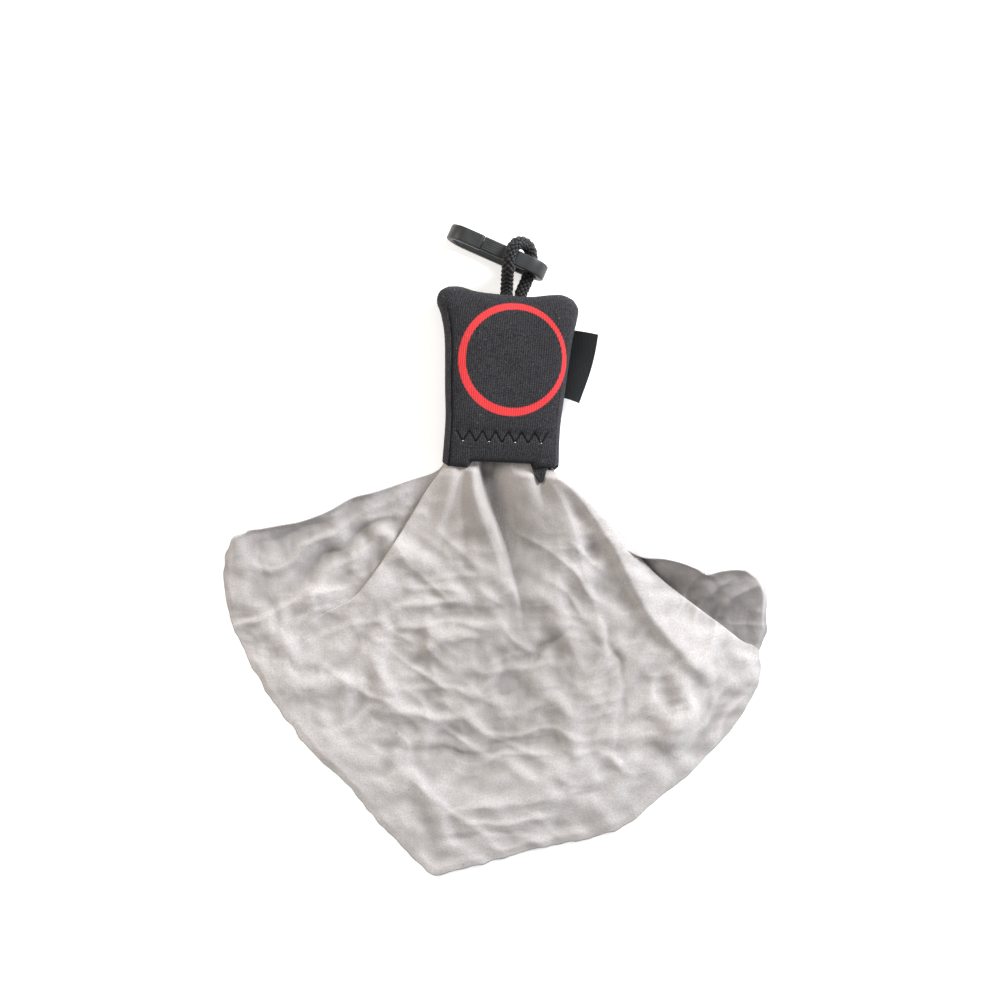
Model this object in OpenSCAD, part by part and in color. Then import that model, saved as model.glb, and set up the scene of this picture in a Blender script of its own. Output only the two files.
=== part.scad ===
// Microfibre cleaning cloth pulled out of its own neoprene pouch, with a cord loop and a clip hook.
// The pouch lies on its back panel: X runs across it, +Y from the mouth to the cord, +Z up.

/* [Pouch] */
// Half the width at the mouth
mouth_half_w = 21.2; // [19:0.1:23]
// Where the front panel's hem ends
front_mouth_y = -31.4; // [-34:0.1:-29]
// How far the back panel's hem stands out past the front one
back_lip = 1.7; // [0.5:0.1:3]
// Where the top edge lies
top_y = 29; // [27:0.1:32]
// Full thickness of the pouch
pouch_t = 14; // [12:0.1:18]
// Thickness of the neoprene
wall = 2.6; // [2:0.1:3]
// Size of the flat crown against the full outline
crown_scale = 0.94; // [0.9:0.01:0.98]

/* [Print and stitching] */
// Outer radius of the printed ring
ring_r = 19.6; // [15:0.1:20]
// Width of the ring's line
ring_w = 2.6; // [1:0.1:4]
// Thickness of the ink
ink_t = 0.12; // [0.05:0.01:0.3]
// Sewing thread diameter
thread_d = 0.4; // [0.2:0.05:0.6]
// One full zigzag of the hem stitch
zigzag_pitch = 4.7; // [3:0.1:6]
// Height of the zigzag
zigzag_h = 4.2; // [2:0.1:6]
// Number of zigzags along the hem
zigzag_count = 7; // [4:1:8]
// Length of one seam stitch
seam_stitch = 2.6; // [1.5:0.1:4]

/* [Label] */
// Thickness of the folded ribbon
label_t = 1.2; // [0.6:0.1:1.6]

/* [Cord] */
// Diameter of the braided cord
cord_d = 4.6; // [4:0.1:5]
// Length of the cord's sewn ends inside the pouch
tail_l = 9; // [5:0.5:10]

/* [Clip] */
// Overall length of the clip
clip_l = 38.4; // [34:0.1:40]
// Height of the clip, across both bars
clip_h = 13; // [12.6:0.1:14]
// Width of the moulded band
clip_w = 5.5; // [4:0.1:6]
// Thickness of the bars
bar_t = 2.6; // [2.2:0.1:2.6]
// Direction from the eye end to the hook end
clip_angle = 161; // [159:0.5:163]
// Distance from the eye end to the gate's free tip
gate_tip_x = 24.6; // [22:0.1:26]
// Gap between the gate's tip and the hook's tip
gate_gap = 0.6; // [0.4:0.1:1]
// Thickness of the gate
gate_t = 2.2; // [1.6:0.1:2.4]

/* [Cloth] */
// Thickness that the crumpled cloth takes up
cloth_t = 3; // [2:0.1:4]
// Height of the gathered folds in front of the mouth
gather_h = 5.4; // [4:0.1:5.5]

/* [Hidden] */

half_t = pouch_t / 2;
side_x = [-24.2, 22.2];
side_y = 14;
back_mouth_y = front_mouth_y - back_lip;
crown_start = 4.6;
crown_layers = 3;
strand_x = [-3.2, 2];
hole_clear = 0.15;
tail_end_y = top_y - 1.8;
ring_centre = [0.8, 5];
zigzag_mid = [-0.2, -22.7];
zigzag_tilt = 3;
seam_inset = 1.3;
seam_pitch = 3.6;
pocket_floor_z = wall + 0.1;
label_pivot_low = [22.7, -6.5];
label_pivot_high = [24.2, 18];
label_outer_low = [26.9, -7.6];
label_outer_mid = [30.3, 6.4];
label_outer_high = [31.6, 17.4];
label_fold_d = label_t - 0.2;
label_fold_inset = 0.5;
eye_end = [10.3, 38];
post_x = [10.8, 13.1];
gate_pivot = [13.6, clip_h - bar_t / 2];
knuckle_r = 1.2;
knuckle_clear = 0.2;
cloth_pivot_y = -36.4;
cloth_pivot_z = 2.8;
fold_end_y = -78;
gather_w = [15, 5];
gather_y = [front_mouth_y - 1, 25];
gather_clear = 0.1;
gather_t = half_t - cord_d / 2 - pocket_floor_z - gather_clear;
bartack_y = 13;
cord_sides = 10;
cord_steps = 3;

// Edge of the pouch above its mouth corners: right side, rounded corner, top, rounded corner, left side
pouch_edge = [
    [20.6, -18], [21.2, -4], [side_x[1], side_y], [23.2, 21.5], [23.4, 26], [21.2, top_y + 0.4],
    [17, top_y + 1.7], [12, top_y + 1.2], [5, top_y], [-6, top_y], [-14, top_y + 0.3],
    [-20, top_y + 1.5], [-24.6, top_y + 1.3], [-27.6, 28], [-28.2, 24.2], [-26.2, 19.4],
    [side_x[0], 11], [-22.6, -6], [-21.4, -18]
];

// Middle line of the cord loop, from one sewn end over the clip's bar, round and back through its eye
cord_route = [
    [-3.2, 27.5, 7], [-3.2, 30, 7], [-3.3, 32.5, 8.3], [-3.4, 35, 11], [-3.4, 37.5, 14],
    [-3.3, 40.5, 15.7], [-2.6, 43.8, 15.9], [-1, 46.4, 15], [1.2, 47.3, 12.4], [3.3, 46.6, 9.6],
    [4.5, 44.4, 7.9], [4.7, 41.5, 7.5], [4.4, 38, 7.3], [3.4, 34, 7.1], [2.1, 30.2, 7],
    [2, 27.5, 7]
];

// Edge of the spread cloth, from the mouth down its left side, round the free corner and back
cloth_edge = [
    [-16, -36.6], [-30, -40], [-45, -46.5], [-60, -55], [-78, -61.5], [-92, -65.5], [-98, -77],
    [-95, -97], [-78, -124], [-52, -151], [-28, -173], [-11.5, -185.8], [16, -176.5],
    [44, -168], [65, -155], [87, -131], [102, -106], [102, -82], [96, -65], [84, -63.5],
    [58, -61.5], [40, -48], [28, -38.5], [16, -36.6]
];

// Point on a smooth curve between b and c, where a and d are their neighbours
function smooth_point(a, b, c, d, t) =
    0.5 * (2 * b + (c - a) * t + (2 * a - 5 * b + 4 * c - d) * t * t
           + (3 * b - a - 3 * c + d) * t * t * t);

// Smooth open curve through points
function smooth_path(points, steps) =
    let (last = len(points) - 1)
    concat(
        [for (i = [0 : last - 1], k = [0 : steps - 1])
            smooth_point(points[max(i - 1, 0)], points[i], points[i + 1],
                         points[min(i + 2, last)], k / steps)],
        [points[last]]);

function unit(v) = v / norm(v);

function along(path, i) = unit(path[min(i + 1, len(path) - 1)] - path[max(i - 1, 0)]);

// One ring of a swept tube, square to the path
function tube_ring(path, i, r, sides) =
    let (t = along(path, i), u = unit(cross(t, [0, 0, 1])), v = cross(t, u))
    [for (k = [0 : sides - 1]) path[i] + r * (cos(360 * k / sides) * u + sin(360 * k / sides) * v)];

module tube(path, d, sides) {
    rings = len(path);
    vertices = [for (i = [0 : rings - 1]) each tube_ring(path, i, d / 2, sides)];
    walls = [for (i = [0 : rings - 2], k = [0 : sides - 1])
        let (n = (k + 1) % sides)
        [i * sides + k, i * sides + n, (i + 1) * sides + n, (i + 1) * sides + k]];
    first_cap = [for (k = [sides - 1 : -1 : 0]) k];
    last_cap = [for (k = [0 : sides - 1]) (rings - 1) * sides + k];
    polyhedron(vertices, concat([first_cap, last_cap], walls), convexity = 6);
}

// Outline of the pouch: straight mouth, pulled-in sides and two rounded top corners
module pouch_outline(mouth_y) {
    polygon(smooth_path(concat([[mouth_half_w, mouth_y]], pouch_edge, [[-mouth_half_w, mouth_y]]), 3));
}

// Solid half of the pouch, standing on the seam plane, its crown stepped in layers
module crowned_half(mouth_y) {
    layer_t = (half_t - crown_start) / crown_layers;
    linear_extrude(height = crown_start) pouch_outline(mouth_y);
    for (i = [1 : crown_layers])
        linear_extrude(height = crown_start + i * layer_t)
            scale(1 - (1 - crown_scale) * pow(i / crown_layers, 2)) pouch_outline(mouth_y);
}

// Room inside one half, open at the mouth
module pocket(mouth_y) {
    room_h = half_t - wall;
    mouth_room_w = 2 * (mouth_half_w - wall);
    room_scale = 1 - wall / mouth_half_w;
    translate([0, 0, -1]) linear_extrude(height = room_h + 1) {
        scale([room_scale, 1 - wall / top_y]) pouch_outline(mouth_y);
        translate([-mouth_room_w / 2, mouth_y - 1]) square([mouth_room_w, 2 * wall + 1]);
    }
}

// One panel: a soft tray that meets the other at the seam plane
module panel(mouth_y) {
    difference() {
        crowned_half(mouth_y);
        pocket(mouth_y);
        for (x = strand_x)
            translate([x, top_y + wall, 0])
                rotate([90, 0, 0]) cylinder(h = 3 * wall, d = cord_d + 2 * hole_clear, $fn = 32);
    }
}

module back_panel() {
    color("#2b2b2f") translate([0, 0, half_t]) mirror([0, 0, 1]) panel(back_mouth_y);
}

module front_panel() {
    color("#333336") translate([0, 0, half_t]) panel(front_mouth_y);
}

module printed_ring() {
    color("#f23b42")
        translate([0, 0, pouch_t]) linear_extrude(height = ink_t) intersection() {
            translate(ring_centre) difference() {
                circle(r = ring_r, $fn = 96);
                circle(r = ring_r - ring_w, $fn = 96);
            }
            scale(crown_scale) pouch_outline(front_mouth_y);
        }
}

// Row of stitches from a to b, in the seam plane
module seam_row(a, b) {
    length = norm(b - a);
    angle = atan2(b[1] - a[1], b[0] - a[0]);
    count = floor(length / seam_pitch);
    translate([a[0], a[1], half_t - thread_d / 2]) rotate([0, 0, angle])
        for (i = [0 : count - 1])
            translate([i * seam_pitch, -thread_d / 2, 0]) cube([seam_stitch, thread_d, thread_d]);
}

module left_seam_thread() {
    color("#151517")
        seam_row([seam_inset - mouth_half_w, front_mouth_y + 1], [side_x[0] + seam_inset, side_y - 3]);
}

module right_seam_thread() {
    color("#151517")
        seam_row([mouth_half_w - seam_inset, front_mouth_y + 1], [side_x[1] - seam_inset, side_y - 3]);
}

module top_seam_thread() {
    y = top_y - seam_inset;
    color("#151517") {
        seam_row([-17, y], [strand_x[0] - cord_d, y]);
        seam_row([strand_x[1] + cord_d, y], [13, y]);
    }
}

// Flat zigzag of thread along a hem, high points first
module zigzag(count) {
    step = zigzag_pitch / 2;
    corners = [for (i = [0 : 2 * count]) [(i - count) * step, (0.5 - i % 2) * zigzag_h]];
    translate(zigzag_mid) rotate([0, 0, zigzag_tilt]) linear_extrude(height = thread_d)
        polygon(concat(corners, [for (i = [2 * count : -1 : 0]) corners[i] + [0, thread_d]]));
}

module front_hem_zigzag() {
    color("#1b1b1d") translate([0, 0, pouch_t]) zigzag(zigzag_count);
}

module back_hem_zigzag() {
    color("#1b1b1d") zigzag(zigzag_count);
}

module side_label() {
    pivot_line = label_pivot_high - label_pivot_low;
    color("#17181b") {
        translate([0, 0, half_t - label_t / 2])
            linear_extrude(height = label_t)
                polygon([label_pivot_low, label_outer_low, label_outer_mid, label_outer_high, label_pivot_high]);
        translate([label_pivot_low[0], label_pivot_low[1], half_t])
            rotate([0, 0, atan2(pivot_line[1], pivot_line[0])])
                translate([label_fold_inset, 0, 0])
                    rotate([0, 90, 0])
                        cylinder(h = norm(pivot_line) - 2 * label_fold_inset, d = label_fold_d, $fn = 24);
    }
}

module cord_loop() {
    color("#121214") tube(smooth_path(cord_route, cord_steps), cord_d, cord_sides);
}

module cord_tails() {
    color("#121214")
        for (x = strand_x)
            translate([x, tail_end_y, half_t]) rotate([90, 0, 0]) cylinder(h = tail_l, d = cord_d, $fn = 32);
}

// Close rows of thread across both cord ends
module cord_bartack() {
    rows = 3;
    row_pitch = 1.4;
    width = strand_x[1] - strand_x[0] + cord_d;
    first_y = tail_end_y - tail_l / 2;
    color("#1b1b1d")
        for (i = [0 : rows - 1])
            translate([strand_x[0] - cord_d / 2, first_y + i * row_pitch, half_t + cord_d / 2])
                cube([width, thread_d, thread_d]);
}

module clip_place() {
    translate([eye_end[0], eye_end[1], 0])
        rotate([0, 0, clip_angle]) rotate([90, 0, 0]) children();
}

// Long oval with true round ends, from x = 0, height h
module oval(length, h) {
    for (x = [h / 2, length - h / 2]) translate([x, h / 2]) circle(d = h, $fn = 64);
    translate([h / 2, 0]) square([length - h, h]);
}

module clip_profile() {
    difference() {
        oval(clip_l, clip_h);
        difference() {
            translate([bar_t, bar_t]) oval(clip_l - 2 * bar_t, clip_h - 2 * bar_t);
            translate([post_x[0], 0]) square([post_x[1] - post_x[0], clip_h]);
        }
        translate([gate_pivot[0], clip_h - bar_t])
            square([gate_tip_x + gate_gap - gate_pivot[0], 2 * bar_t]);
        translate(gate_pivot) circle(r = knuckle_r + knuckle_clear, $fn = 32);
    }
}

module clip_body() {
    color("#2a2b2c") clip_place() linear_extrude(height = clip_w, center = true) clip_profile();
}

module clip_gate() {
    color("#303132") clip_place() linear_extrude(height = clip_w, center = true) {
        translate(gate_pivot) circle(r = knuckle_r, $fn = 32);
        translate([gate_pivot[0], clip_h - gate_t]) square([gate_tip_x - gate_pivot[0], gate_t]);
    }
}

// Part of the cloth that stays in the pouch, narrowing to its sewn corner
module cloth_gather() {
    color("#c8c2bf")
        translate([0, 0, pocket_floor_z]) linear_extrude(height = gather_t)
            polygon([[-gather_w[0], gather_y[0]], [gather_w[0], gather_y[0]],
                     [gather_w[1], gather_y[1]], [-gather_w[1], gather_y[1]]]);
}

module cloth_bartack() {
    rows = 3;
    row_pitch = 1.2;
    top_z = pocket_floor_z + gather_t;
    color("#1b1b1d")
        for (i = [0 : rows - 1])
            translate([-gather_w[1], bartack_y + i * row_pitch, top_z])
                cube([2 * gather_w[1], thread_d, thread_d]);
}

// Spread cloth: the crumpled sheet, its folds rising towards the mouth, and the rolled neck
module cloth_sheet() {
    neck_r = cloth_pivot_z - 0.2;
    fold_half_w = 34;
    neck_half_w = 16;
    color("#cdc7c4") {
        linear_extrude(height = cloth_t) polygon(smooth_path(cloth_edge, 4));
        translate([-neck_half_w, cloth_pivot_y, cloth_pivot_z])
            rotate([0, 90, 0]) cylinder(h = 2 * neck_half_w, r = neck_r, $fn = 32);
        hull() {
            translate([-neck_half_w, cloth_pivot_y - 2, 0.2]) cube([2 * neck_half_w, 2, gather_h - 0.2]);
            translate([-fold_half_w, fold_end_y, 0.2]) cube([2 * fold_half_w, 1, cloth_t]);
        }
    }
}

back_panel();
front_panel();
printed_ring();
left_seam_thread();
right_seam_thread();
top_seam_thread();
front_hem_zigzag();
back_hem_zigzag();
side_label();
cord_loop();
cord_tails();
cord_bartack();
clip_body();
clip_gate();
cloth_gather();
cloth_bartack();
cloth_sheet();
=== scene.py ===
"""Looks of a cleaning cloth pulled out of its neoprene pouch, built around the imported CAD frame."""

import math

import bpy
import numpy as np
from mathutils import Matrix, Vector


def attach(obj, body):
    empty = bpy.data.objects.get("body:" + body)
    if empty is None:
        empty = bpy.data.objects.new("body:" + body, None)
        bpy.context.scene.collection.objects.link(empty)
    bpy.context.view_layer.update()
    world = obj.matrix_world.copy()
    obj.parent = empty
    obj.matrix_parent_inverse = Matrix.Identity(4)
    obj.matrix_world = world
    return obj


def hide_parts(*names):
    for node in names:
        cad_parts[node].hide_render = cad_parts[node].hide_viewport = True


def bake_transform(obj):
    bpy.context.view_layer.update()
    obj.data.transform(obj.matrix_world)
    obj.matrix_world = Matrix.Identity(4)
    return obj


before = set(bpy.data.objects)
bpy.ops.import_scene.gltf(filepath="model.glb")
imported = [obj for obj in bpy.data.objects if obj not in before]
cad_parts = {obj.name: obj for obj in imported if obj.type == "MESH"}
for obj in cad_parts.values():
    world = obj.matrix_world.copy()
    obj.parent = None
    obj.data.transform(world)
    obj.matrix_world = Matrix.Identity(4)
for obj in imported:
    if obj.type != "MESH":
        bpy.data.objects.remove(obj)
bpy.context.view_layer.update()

MM = 0.001
SEED = 7
SEAM_Z = 7.0


# ---- small tools

def smoothstep(low, high, value):
    """0 before low, 1 after high, smooth between."""
    t = np.clip((value - low) / (high - low), 0, 1)
    return t * t * (3 - 2 * t)


def turned(x, y, degrees):
    """x and y turned about the origin."""
    c, s = math.cos(math.radians(degrees)), math.sin(math.radians(degrees))
    return c * x - s * y, s * x + c * y


def smooth_path(points, steps):
    """Smooth open curve through points, the same one that the CAD source uses."""
    p = np.array(points, float)
    last = len(p) - 1
    out = []
    for i in range(last):
        a, b, c, d = p[max(i - 1, 0)], p[i], p[i + 1], p[min(i + 2, last)]
        for k in range(steps):
            t = k / steps
            out.append(0.5 * (2 * b + (c - a) * t + (2 * a - 5 * b + 4 * c - d) * t ** 2
                              + (3 * b - a - 3 * c + d) * t ** 3))
    out.append(p[last])
    return np.array(out)


def resample(path, count):
    """count points evenly spaced along a path."""
    path = np.asarray(path, float)
    run = np.concatenate([[0], np.cumsum(np.linalg.norm(np.diff(path, axis=0), axis=1))])
    at = np.linspace(0, run[-1], count)
    return np.stack([np.interp(at, run, path[:, k]) for k in range(path.shape[1])], 1)


def pick(curve, t):
    """Places on a curve of evenly spaced points, for shares t of its length."""
    where = t * (len(curve) - 1)
    return np.stack([np.interp(where, np.arange(len(curve)), curve[:, k]) for k in (0, 1)], -1)


def blur(grid, axis, sigma):
    """Gaussian blur of a grid of points or values along one axis; sigma is in samples."""
    reach = int(3 * sigma) + 1
    kernel = np.exp(-0.5 * (np.arange(-reach, reach + 1) / sigma) ** 2)
    kernel /= kernel.sum()
    moved = np.moveaxis(grid, axis, 0)
    padded = np.concatenate([moved[:1].repeat(reach, 0), moved, moved[-1:].repeat(reach, 0)])
    out = sum(k * padded[i:i + len(moved)] for i, k in enumerate(kernel))
    return np.moveaxis(out, 0, axis)


class Noise:
    """Smooth seeded noise in the plane, from -1 to 1."""

    def __init__(self, seed):
        self.table = np.random.default_rng(seed).uniform(-1, 1, (64, 64))

    def __call__(self, x, y):
        xi, yi = np.floor(x).astype(int), np.floor(y).astype(int)
        fx, fy = x - xi, y - yi
        fx, fy = fx ** 3 * (fx * (6 * fx - 15) + 10), fy ** 3 * (fy * (6 * fy - 15) + 10)
        g = self.table
        a, b = g[xi % 64, yi % 64], g[(xi + 1) % 64, yi % 64]
        c, d = g[xi % 64, (yi + 1) % 64], g[(xi + 1) % 64, (yi + 1) % 64]
        return (a * (1 - fx) + b * fx) * (1 - fy) + (c * (1 - fx) + d * fx) * fy


def new_object(name, vertices, faces, material=None, smooth=True):
    """Mesh object in the scene, from places in metres."""
    mesh = bpy.data.meshes.new(name)
    mesh.from_pydata([tuple(v) for v in vertices], [], faces)
    mesh.update()
    mesh.validate()
    if smooth:
        mesh.shade_smooth()
    if material:
        mesh.materials.append(material)
    obj = bpy.data.objects.new(name, mesh)
    bpy.context.scene.collection.objects.link(obj)
    return obj


def flat_square(name, half, material=None, smooth=True):
    return new_object(name, [(-half, -half, 0), (half, -half, 0), (half, half, 0), (-half, half, 0)],
                      [(0, 1, 2, 3)], material, smooth)


def grid_faces(rows, cols, start=0, flip=False, wrap=False):
    """Quads of a rows x cols grid of vertices; wrap joins the last column to the first."""
    faces = []
    for r in range(rows - 1):
        for c in range(cols if wrap else cols - 1):
            n = (c + 1) % cols
            quad = (start + r * cols + c, start + r * cols + n,
                    start + (r + 1) * cols + n, start + (r + 1) * cols + c)
            faces.append(quad[::-1] if flip else quad)
    return faces


def rim_of(rows, cols):
    """Indices round the border of a grid, in order."""
    top = list(range(cols))
    right = [r * cols + cols - 1 for r in range(1, rows)]
    bottom = [(rows - 1) * cols + c for c in range(cols - 2, -1, -1)]
    left = [r * cols for r in range(rows - 2, 0, -1)]
    return top + right + bottom + left


def closed_slab(name, upper, lower, material):
    """Closed solid between two grids of the same size."""
    rows, cols = upper.shape[:2]
    count = rows * cols
    rim = rim_of(rows, cols)
    faces = grid_faces(rows, cols) + grid_faces(rows, cols, count, flip=True)
    for a, b in zip(rim, rim[1:] + rim[:1]):
        faces.append((b, a, a + count, b + count))
    return new_object(name, np.concatenate([upper.reshape(-1, 3), lower.reshape(-1, 3)]), faces, material)


def thick_sheet(name, flat, z, half, material):
    """Closed solid of a sheet in mm, from its flat places, its heights and half its thickness."""
    return closed_slab(name, np.dstack([flat, z + half]) * MM, np.dstack([flat, z - half]) * MM, material)


def tangents(path):
    t = np.gradient(path, axis=0)
    return t / np.linalg.norm(t, axis=1)[:, None]


def cross_directions(path):
    """Two directions across a path at each of its points, the first one level."""
    t = tangents(path)
    u = np.cross(t, np.array([0.0, 0.0, 1.0]))
    u /= np.linalg.norm(u, axis=1)[:, None]
    return u, np.cross(t, u)


def tube_faces(rows, sides, start=0):
    """Faces of a tube made of rings of vertices, with both ends closed."""
    end = start + (rows - 1) * sides
    return grid_faces(rows, sides, start, wrap=True) + [tuple(range(start + sides - 1, start - 1, -1)),
                                                        tuple(range(end, end + sides))]


def tube_parts(path, radius, sides, start=0):
    """Vertices and faces of a closed round tube about path."""
    u, v = cross_directions(path)
    angle = np.linspace(0, 2 * np.pi, sides, endpoint=False)
    ring = np.cos(angle)[None, :, None] * u[:, None] + np.sin(angle)[None, :, None] * v[:, None]
    return (path[:, None] + radius * ring).reshape(-1, 3), tube_faces(len(path), sides, start)


def tubes(name, paths, radius, sides, material):
    """One object of several tubes."""
    vertices, faces = [], []
    for path in paths:
        v, f = tube_parts(np.asarray(path, float), radius, sides, sum(len(a) for a in vertices))
        vertices.append(v)
        faces += f
    return new_object(name, np.concatenate(vertices), faces, material)


# ---- materials

class Nodes:
    """Short ways to write a node material."""

    def __init__(self, name):
        self.material = bpy.data.materials.new(name)
        self.material.use_nodes = True
        self.tree = self.material.node_tree
        self.shader = self.tree.nodes["Principled BSDF"]
        self.place = self.add("ShaderNodeTexCoord").outputs["Object"]

    def add(self, kind, **settings):
        node = self.tree.nodes.new(kind)
        for key, value in settings.items():
            setattr(node, key, value)
        return node

    def put(self, socket, value):
        """Links a socket, or sets it; colours are given as three numbers."""
        if isinstance(value, bpy.types.NodeSocket):
            self.tree.links.new(value, socket)
        else:
            socket.default_value = (*value, 1) if socket.type == "RGBA" else value

    def make(self, kind, inputs, output=0, **settings):
        """One output of a new node whose inputs are set or linked."""
        node = self.add(kind, **settings)
        for key, value in inputs.items():
            self.put(node.inputs[key], value)
        return node.outputs[output]

    def math(self, operation, a, b=0.0, clamp=False):
        return self.make("ShaderNodeMath", {0: a, 1: b}, operation=operation, use_clamp=clamp)

    def plus(self, a, b):
        return self.math("ADD", a, b)

    def minus(self, a, b):
        return self.math("SUBTRACT", a, b)

    def times(self, a, b, clamp=False):
        return self.math("MULTIPLY", a, b, clamp)

    def turned(self, turn, scale=(1, 1, 1)):
        """Places turned about Z by an angle in radians."""
        return self.make("ShaderNodeMapping", {"Vector": self.place, "Scale": scale,
                                               "Rotation": (0, 0, turn)})

    def noise(self, scale, detail=2.0, rough=0.5, where=None):
        return self.make("ShaderNodeTexNoise", {"Vector": where or self.place, "Scale": scale,
                                                "Detail": detail, "Roughness": rough}, "Fac")

    def distance(self, centre):
        return self.make("ShaderNodeVectorMath", {0: self.place, 1: centre}, "Value", operation="DISTANCE")

    def attribute(self, name):
        return self.make("ShaderNodeAttribute", {}, "Fac", attribute_name=name)

    def wave(self, where, scale, distortion=0.0, direction="X"):
        return self.make("ShaderNodeTexWave", {"Vector": where, "Scale": scale, "Distortion": distortion},
                         "Fac", bands_direction=direction)

    def remap(self, value, low, high, to_low=0.0, to_high=1.0):
        return self.make("ShaderNodeMapRange", dict(enumerate((value, low, high, to_low, to_high))))

    def mix(self, factor, a, b):
        return self.make("ShaderNodeMix", {0: factor, 6: a, 7: b}, 2, data_type="RGBA")

    def bump(self, height, distance, strength, under=None):
        inputs = {"Height": height, "Distance": distance, "Strength": strength}
        if under is not None:
            inputs["Normal"] = under
        return self.make("ShaderNodeBump", inputs)

    def finish(self, colour, roughness, normal=None, **constants):
        self.put(self.shader.inputs["Base Color"], colour)
        self.put(self.shader.inputs["Roughness"], roughness)
        if normal is not None:
            self.put(self.shader.inputs["Normal"], normal)
        for key, value in constants.items():
            self.shader.inputs[key.replace("_", " ")].default_value = value
        return self.material


RIB, COURSE = 0.85, 0.62


def knit(n):
    """Height of a fine jersey: ribs along Y and round the sides, each a column of small stitches."""
    bend = n.noise(60, 2)
    place = n.add("ShaderNodeSeparateXYZ")
    n.put(place.inputs[0], n.place)
    below_face = n.minus(n.math("ABSOLUTE", n.minus(place.outputs["Z"], SEAM_Z * MM)), SEAM_Z * MM)

    def phase(axis, sway, pitch):
        side = n.remap(place.outputs[axis], -10 * MM, 10 * MM, -1.0, 1.0)
        around = n.minus(place.outputs[axis], n.times(side, below_face))
        return n.times(n.plus(around, n.times(bend, sway * MM)), 2 * math.pi / (pitch * MM))

    ribs = n.math("SINE", phase("X", 0.25, RIB))
    shift = n.times(n.math("ABSOLUTE", ribs), 1.6)
    loops = n.math("SINE", n.plus(phase("Y", 0.2, COURSE), shift))
    return n.plus(n.times(ribs, 0.55), n.times(loops, 0.26)), place


def neoprene_material(name, base, ring=None):
    n = Nodes(name)
    stitches, place = knit(n)
    patch = n.noise(140, 3)
    fuzz = n.noise(1700, 3, 0.6)
    # Painted shade of the knit: dark and light are shaded and lit copies of the base, mixed by the stitches'
    # height so that their grooves are darker; the patches and the fuzz are the fabric's own uneven tone
    dark = tuple(c * 0.38 for c in base)
    light = tuple(c * 2.0 for c in base)
    shade = n.plus(n.remap(stitches, -0.9, 0.9, 0.05, 0.75), n.times(patch, 0.25))
    colour = n.mix(n.times(shade, n.remap(fuzz, 0.32, 0.68, 0.1, 1.8)), dark, light)
    lint = n.math("GREATER_THAN", n.noise(1100, 1), 0.78)
    if ring:
        # the printed red gets the same painted shade of the knit
        red = n.mix(shade, ring["dark"], ring["light"])
        colour = n.mix(ring_mask(n, place, stitches, ring), colour, red)
    colour = n.mix(n.times(lint, 0.35), colour, (0.5, 0.5, 0.52))
    normal = n.bump(stitches, 0.10 * MM, 0.8)
    normal = n.bump(fuzz, 0.05 * MM, 0.4, normal)
    return n.finish(colour, 0.86, normal, Sheen_Weight=0.05, Sheen_Roughness=0.5, Specular_IOR_Level=0.16)


# Printed ring: middle and radii of its two edges in mm, and its colours: a shaded and a lit red, mixed by the
# knit's painted shade
RING = {"outer": ((1.05, 5.1), (19.5, 20.4)), "inner": ((1.6, 5.45), (17.4, 17.75)),
        "dark": (0.52, 0.026, 0.030), "light": (0.86, 0.070, 0.075)}


def ring_mask(n, place, stitches, ring):
    """1 inside the printed ring: between two ellipses whose edges follow the stitches."""
    def inside(centre, radii):
        parts = []
        for axis, c, r in zip("XY", centre, radii):
            part = n.math("DIVIDE", n.minus(place.outputs[axis], c * MM), r * MM)
            parts.append(n.times(part, part))
        distance = n.math("SQRT", n.plus(*parts))
        ragged = n.plus(distance, n.times(stitches, 0.011))
        return n.remap(ragged, 0.994, 1.006, 1.0, 0.0)

    above = n.math("GREATER_THAN", place.outputs["Z"], (SEAM_Z + 0.5) * MM)
    band = n.times(inside(*ring["outer"]), n.minus(1.0, inside(*ring["inner"])))
    return n.times(band, above)


# Painted shade on the cloth, soft darker patches where the neck by the pouch and the middle face away from
# the light: middle, reach in mm, strength, colour
PAINTED_SHADE_PATCHES = (((16, -98), 62, 0.56, (0.33, 0.30, 0.28)), ((3, -46), 36, 0.66, (0.31, 0.27, 0.24)))


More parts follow.
